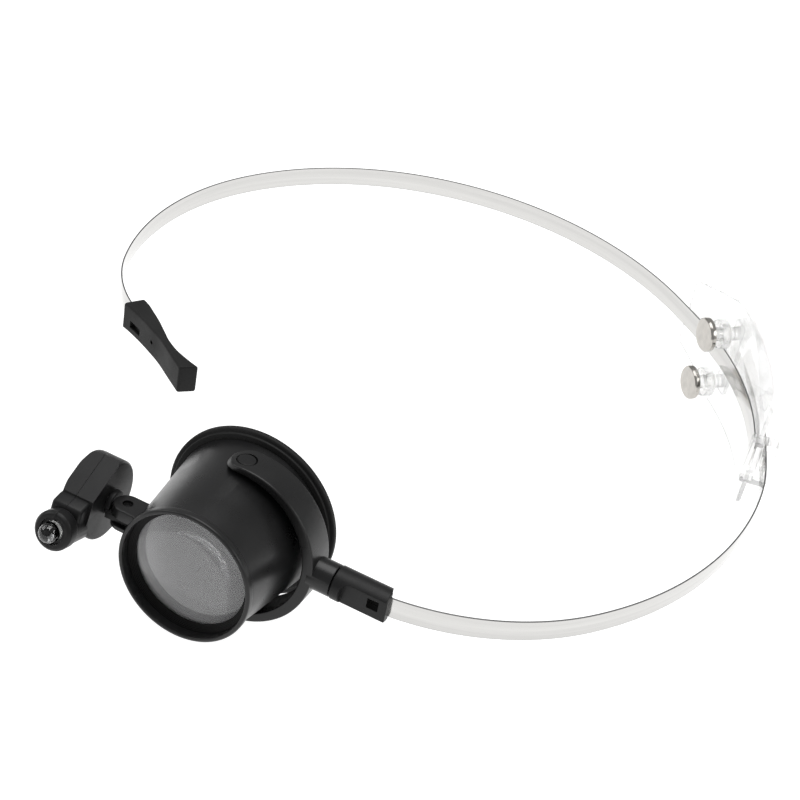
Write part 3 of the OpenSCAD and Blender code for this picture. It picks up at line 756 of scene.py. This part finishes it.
def make_lens():
    """A lens with two equal spherical faces and a plain rim."""
    def fall(r):
        return LENS_CURVE - math.sqrt(LENS_CURVE ** 2 - r ** 2)

    peak = LENS_MIDDLE + LENS_HALF_RIM + fall(LENS_RIM_R)
    radii = [LENS_RIM_R * k / 40 for k in range(41)]
    front = [(r, peak - fall(r)) for r in radii]
    back = [(r, 2 * LENS_MIDDLE - s) for r, s in reversed(front)]
    lens = lathe("magnifier_lens", front + back, BARREL, segments=192)
    add_piece(lens, "barrel", MATERIALS["lens_glass"], ("lens",), 20)


def make_retainer():
    steps = [(14.7, 18.52), (14.7, 18.95)]
    for k in range(1, 6):
        steps += [(14.7 + 0.3 * k, 18.75 + 0.2 * k), (14.7 + 0.3 * k, 18.95 + 0.2 * k)]
    steps += [(16.38, 19.95), (16.38, 18.2), (16.0, 18.15)]
    ring = lathe("stepped_ring", rounded(steps, 0.03, 2), BARREL, segments=192)
    add_piece(ring, "barrel", MATERIALS["retainer_black"], ("lens_retainer",), 25)


# ---------------------------------------------------------------- lamp
def make_knuckle():
    eye = arc_outline((LUG_X, -LUG_FORWARD), 3.1, -54, 54, 24)
    bar = [(-24.4, -LUG_FORWARD + 2.5), (-27.05, -LUG_FORWARD + 2.5), (-27.05, -LUG_FORWARD - 2.5),
           (-24.4, -LUG_FORWARD - 2.5)]
    tongue = prism("knuckle_joint", eye + bar, -1.78, 0.08, BARREL, "xy", 0.2)
    place = Matrix.Translation(LAMP_CENTRE)
    boss = [(0, 5), (3.4, 5, 0.3), (3.4, 6.35, 0.3), (0, 6.35)]
    tongue = combine(tongue, lathe("boss", rounded(boss, 0.02), place, "cross", 64), "UNION")
    lug = BARREL @ Matrix.Translation((LUG_X, -LUG_FORWARD, 0)) @ Matrix.Rotation(math.radians(-90), 4, "Y")
    tongue = combine(tongue, lathe("c1", rod(1.05, -3, 3), lug, "cross", 48))
    tongue = combine(tongue, lathe("c2", rod(1.2, 4, 6.36), place, "cross", 48))
    add_piece(tongue, "knuckle", MATERIALS["lamp_black"], ("lamp_knuckle",), 30)


def lamp_body():
    """The outside of the lamp housing as one solid: a drum with a sloping flat, a neck and a snout."""
    drum = [(0, -4.2), (8.2, -4.2, 0.3), (10.2, -3.2, 0.8), (10.35, -2, 0.3), (10.35, 4.15, 0.35),
            (9.9, 4.7, 0.35), (0, 4.7)]
    body = lathe("drum", rounded(drum, 0.1), LAMP, "cross", 160)
    body = combine(body, prism("c1", box_outline(-6, -14, 6, -SHOULDER), -12, 12, LAMP))
    slope = LAMP @ Matrix.Rotation(math.radians(-SLOPE_ANGLE), 4, "X")
    body = combine(body, prism("c2", box_outline(-6, -14, 6, -SLOPE_DISTANCE), -12, 12, slope))
    side = [(-4, SNOUT_DROP), (-4, 1.6), (-SHOULDER, 1.6), (-12.6, 0), (-12.6, SNOUT_DROP)]
    neck = prism("neck", rounded(side, 0.9), -4.1, 4.1, LAMP, "yz", 0.8, 6)
    snout = LAMP @ Matrix.Translation((0, 0, SNOUT_DROP))
    barrel = [(0, 5), (4.7, 5), (4.7, 13.0, 0.3), (5, 13.3, 0.3), (5, SNOUT_FRONT - 0.7, 0.3),
              (4.3, SNOUT_FRONT, 0.3), (0, SNOUT_FRONT)]
    body = combine(body, neck, "UNION")
    return combine(body, lathe("snout", rounded(barrel, 0.02), snout, segments=128), "UNION")


def lamp_hollows():
    snout = LAMP @ Matrix.Translation((0, 0, SNOUT_DROP))
    rear = LAMP @ Matrix.Rotation(math.pi, 4, "X")
    screw = LAMP @ Matrix.Translation((0, 5.1, -5.1))
    return [lathe("h1", rod(6.1, -3.6, 3.05), LAMP, "cross", 64),
            lathe("h2", rod(2.35, 0, 3.6), LAMP, "cross", 48),
            lathe("h3", rod(1.25, 0, 6), LAMP, "cross", 48),
            lathe("h4", rod(2.52, 11, 18), snout, segments=64),
            lathe("h5", rod(2.9, 11, 12.1), snout, segments=64),
            lathe("h6", rod(3.3, SNOUT_FRONT - 0.8, 18), snout, segments=64),
            prism("h7", box_outline(-2.54, -11.5, 2.54, -0.5), -6.87, -4.33, LAMP),
            lathe("h8", rod(2.6, 0, 8), rear, segments=64),
            lathe("h9", rod(2.1, 0, 11), rear, segments=64),
            lathe("h10", rod(0.8, -4.7, 3.4), screw, "cross", 48),
            lathe("h11", rod(1.4, -5.5, -3.3), screw, "cross", 48)]


def make_shells():
    for name, edge, side in (("left", -0.04, -1), ("right", 0.04, 1)):
        shell = lamp_body()
        x0, x1 = sorted((edge, 8 * side))
        half = prism("half", box_outline(x0, -20, x1, 14), -14, 14, LAMP)
        shell = combine(shell, half, "INTERSECT")
        for hollow in lamp_hollows():
            shell = combine(shell, hollow)
        shell.name = "housing_" + name
        add_piece(shell, "lamp", MATERIALS["lamp_black"], ("lamp_shell_" + name,), 32)


def make_led():
    snout = LAMP @ Matrix.Translation((0, 0, SNOUT_DROP))
    dome = [(2.5 * math.cos(math.radians(a)), 17.7 + 2.5 * math.sin(math.radians(a)))
            for a in range(0, 91, 6)]
    profile = [(0, 11.02), (2.88, 11.02), (2.88, 12.08), (2.48, 12.08)] + dome
    glass = lathe("led_lens", profile, snout, segments=96)
    add_piece(glass, "lamp", MATERIALS["led_clear"], ("led",), 30)
    cup = [(0, 11.6), (0.5, 11.6), (0.5, 13.6), (1.35, 14.4), (1.35, 14.7), (1.2, 14.7), (0.5, 14.1),
           (0, 14.1)]
    cup = lathe("led_cup", cup, snout, segments=48)
    add_piece(cup, "lamp", MATERIALS["cell_steel"])
    post = prism("led_post", rounded(box_outline(1.0, -14.3, 1.5, -11.6), 0.1), -0.4, 0.4, snout, "xy", 0.08)
    add_piece(post, "lamp", MATERIALS["cell_steel"])


def make_switch():
    rear = LAMP @ Matrix.Rotation(math.pi, 4, "X")
    profile = [(0, 7.3), (2.5, 7.3, 0.1), (2.5, 7.9, 0.1), (2, 7.9, 0.05), (2, 11.3, 0.35), (0, 11.38)]
    button = lathe("switch_cap", rounded(profile, 0.02), rear, segments=64)
    add_piece(button, "switch", MATERIALS["black_plastic"], ("switch_button",))
    screw = LAMP @ Matrix.Translation((0, 5.1, -5.1))
    profile = [(0, -3.95), (1.3, -3.95, 0.15), (1.3, -3.3, 0.02), (0.78, -3.3, 0.02), (0.78, 3.4, 0.2),
               (0, 3.4)]
    head = lathe("housing_screw", rounded(profile, 0.02), screw, "cross", 48)
    for i, (wide, high) in enumerate(((0.9, 0.16), (0.16, 0.9))):
        head = combine(head, prism(f"c{i}", box_outline(-wide, -high, wide, high), -5, -3.65, screw, "yz"))
    add_piece(head, "lamp", MATERIALS["pin_steel"], ("shell_screw",))


# ---------------------------------------------------------------- carried-over parts and setting
def finish_cad_nodes():
    """Gives every CAD node its slot's material, which shows on the nodes that no piece replaces."""
    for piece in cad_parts.values():
        for i, slot in enumerate(piece.material_slots):
            base = slot.material.name.split(".")[0] if slot.material else ""
            if base in MATERIALS:
                piece.data.materials[i] = MATERIALS[base]


def floor_material():
    m = Nodes("studio_paper")
    place = m.coordinates((1, 1, 1))
    fibres = m.noise(place, 900, 4)
    m.link(m.ramp(fibres, [(0.3, 0.33), (0.7, 0.36)]), m.shader.inputs["Base Color"])
    m.link(m.ramp(fibres, [(0.3, 0.75), (0.7, 0.9)]), m.shader.inputs["Roughness"])
    m.link(m.ramp(fibres, [(0.3, 0.97), (0.7, 1.0)]), m.shader.inputs["Emission Color"])
    m.bump(fibres, 0.00001, 0.3)
    m.set(Specular_IOR_Level=0.1, Emission_Strength=0.95)
    return m.material


def make_floor():
    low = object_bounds()[0][2]
    size, steps = 3.0, 24
    verts = [(size * (2 * i / steps - 1), size * (2 * j / steps - 1), low - 0.0002)
             for j in range(steps + 1) for i in range(steps + 1)]
    row = steps + 1
    faces = [(j * row + i, j * row + i + 1, (j + 1) * row + i + 1, (j + 1) * row + i)
             for j in range(steps) for i in range(steps)]
    mesh = bpy.data.meshes.new("floor")
    mesh.from_pydata(verts, [], faces)
    floor = bpy.data.objects.new("floor", mesh)
    bpy.context.scene.collection.objects.link(floor)
    mesh.materials.append(floor_material())


def make_light():
    """A dim soft surround and large soft lights over a floor that glows, like a light table.

    The surround lights at 0.4 and is white where it shows past the floor.
    """
    scene = bpy.context.scene
    world = bpy.data.worlds.new("studio")
    scene.world = world
    world.use_nodes = True
    background = world.node_tree.nodes["Background"]
    background.inputs["Color"].default_value = (1, 1, 1, 1)
    seen = world.node_tree.nodes.new("ShaderNodeLightPath")
    strength = world.node_tree.nodes.new("ShaderNodeMapRange")
    strength.inputs["To Min"].default_value = 0.4
    strength.inputs["To Max"].default_value = 1.0
    world.node_tree.links.new(seen.outputs["Is Camera Ray"], strength.inputs["Value"])
    world.node_tree.links.new(strength.outputs["Result"], background.inputs["Strength"])
    scene.view_settings.view_transform = "Standard"
    lights = (("top", (-0.1, 0.1, 1.1), 1.0, 9), ("left", (-0.9, -0.3, 0.6), 0.6, 2),
              ("right", (0.9, 0.1, 0.5), 0.6, 3))
    for name, place, size, power in lights:
        light = bpy.data.lights.new(name, "AREA")
        light.shape = "DISK"
        light.size = size
        light.energy = power
        lamp = bpy.data.objects.new(name, light)
        lamp.location = place
        lamp.rotation_euler = (-Vector(place)).to_track_quat("-Z", "Y").to_euler()
        scene.collection.objects.link(lamp)


def make_camera():
    data = bpy.data.cameras.new("camera")
    data.lens = 80.34
    data.sensor_width = 36
    data.clip_start = 0.01
    camera = bpy.data.objects.new("camera", data)
    right = Vector((0.8830442, 0.43834695, 0.16758546))
    up = Vector((-0.3899608, 0.48672317, 0.78168481))
    back = Vector((0.26108142, -0.755614, 0.6007362))
    turn = Matrix((right, up, back)).transposed().to_4x4()
    camera.matrix_world = Matrix.Translation((0.124527, -0.38040241, 0.28851392)) @ turn
    bpy.context.scene.collection.objects.link(camera)
    bpy.context.scene.camera = camera


make_bands()
make_plate()
make_adjuster()
make_studs()
make_pad()
make_clip()
make_yoke()
make_barrel()
make_eyecup()
make_lens()
make_retainer()
make_knuckle()
make_shells()
make_led()
make_switch()
finish_cad_nodes()
make_floor()
make_light()
make_camera()

bpy.context.view_layer.update()
